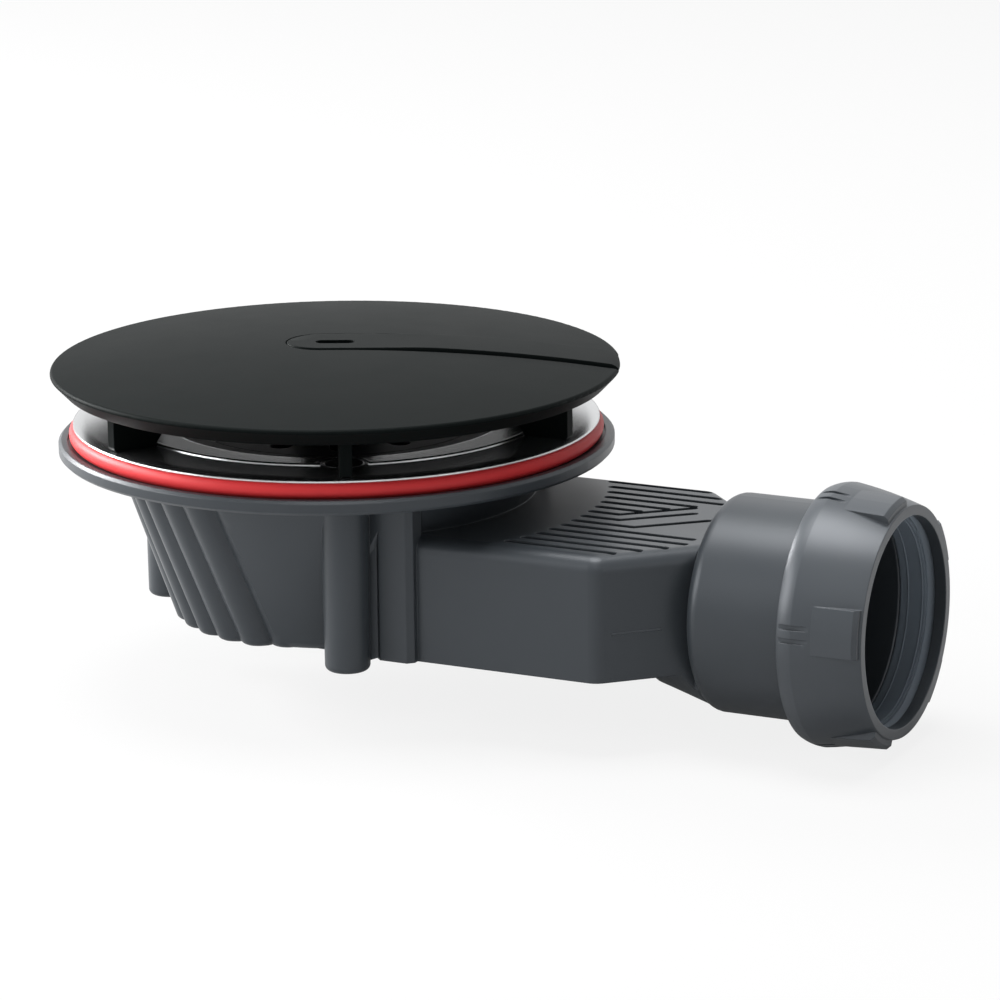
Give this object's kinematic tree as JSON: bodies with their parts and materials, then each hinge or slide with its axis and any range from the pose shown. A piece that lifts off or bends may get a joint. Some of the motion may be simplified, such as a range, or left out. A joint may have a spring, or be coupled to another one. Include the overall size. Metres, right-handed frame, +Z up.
{
  "type": "shower drain",
  "caption": "Low shower drain with a domed cover on fins, a polished dish flange, a tray seal and a trap box with a horizontal compression outlet.",
  "frame": {"origin": "drain axis at the top of the body flange, where the tray's underside is sealed", "axes": "+X along the outlet, towards the pipe; +Z up through the cover"},
  "size_m": [0.1816, 0.115, 0.0703],
  "materials": {
    "cover_plastic": "satin black moulded plastic",
    "insert_plastic": "satin black moulded plastic",
    "black_rubber": "black rubber",
    "polished_steel": "polished stainless steel",
    "screw_steel": "bright steel",
    "red_rubber": "satin red rubber",
    "body_plastic": "satin slate grey polypropylene",
    "seal_rubber": "grey rubber",
    "nut_plastic": "satin grey polypropylene"
  },
  "bodies": {
    "body": {"trap_body": "body_plastic", "tray_seal": "red_rubber", "dish_flange": "polished_steel", "flange_screws": "screw_steel", "cone_seal": "seal_rubber"},
    "insert": {"dip_tube": "insert_plastic", "dip_tube_ring": "black_rubber", "hair_strainer": "insert_plastic"},
    "cover": {"cover": "cover_plastic"},
    "slip_ring": {"slip_ring": "nut_plastic"},
    "nut": {"compression_nut": "nut_plastic"}
  },
  "joints": [
    {"name": "insert_lift", "type": "slide", "parent": "body", "child": "insert", "axis": [0, 0, 1], "range_m": [0, 0.025]},
    {"name": "cover_lift", "type": "slide", "parent": "insert", "child": "cover", "axis": [0, 0, 1], "range_m": [0, 0.012]},
    {"name": "nut_travel", "type": "slide", "parent": "body", "child": "slip_ring", "axis": [1, 0, 0], "range_m": [0, 0.005]},
    {"name": "nut_turn", "type": "hinge", "parent": "slip_ring", "child": "nut", "pos_m": [0.116, 0, -0.0257], "axis": [1, 0, 0], "range_deg": [0, 600]}
  ],
  "couplings": [
    {"joint": "nut_travel", "follows": "nut_turn", "m_per_rad": 0.00047746}
  ]
}
